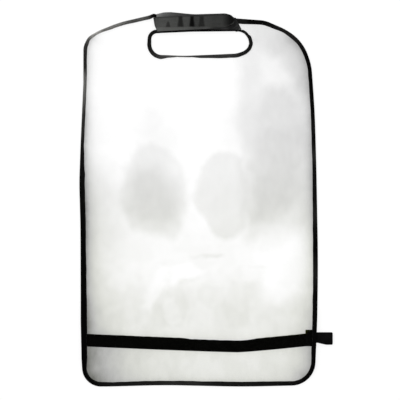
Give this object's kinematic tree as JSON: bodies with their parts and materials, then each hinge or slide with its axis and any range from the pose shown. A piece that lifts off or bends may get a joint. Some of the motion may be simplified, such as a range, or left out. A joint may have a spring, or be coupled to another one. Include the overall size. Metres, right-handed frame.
{
  "type": "seat back kick mat",
  "caption": "Clear film kick mat for the back of a car seat, edged with black folded tape, with a headrest slot closed by a hook-and-loop flap and an elastic strap behind it.",
  "frame": {"origin": "middle of the footprint on the floor, with the mat lying on its back", "axes": "+X across the mat to the side with the loop tab, +Y from the hem to the headrest slot, +Z out of the front face"},
  "size_m": [0.4426, 0.6544, 0.0077],
  "materials": {
    "clear_panel": "glossy clear film",
    "edge_binding": "woven folded tape",
    "slot_binding": "woven folded tape",
    "closure_flap": "brushed hook-and-loop tape back",
    "closure_hook_patch": "hook tape",
    "closure_loop_patch": "loop tape pile",
    "closure_base_strap": "woven tape",
    "lower_strap": "woven elastic",
    "strap_hook_patch": "hook tape",
    "side_tab": "loop tape"
  },
  "bodies": {
    "root": {"clear_panel": "clear_panel", "edge_binding": "edge_binding", "slot_binding": "slot_binding", "closure_flap": "closure_flap", "closure_hook_patch": "closure_hook_patch", "closure_loop_patch": "closure_loop_patch", "closure_base_strap": "closure_base_strap", "lower_strap": "lower_strap", "strap_hook_patch": "strap_hook_patch", "side_tab": "side_tab"}
  },
  "joints": []
}
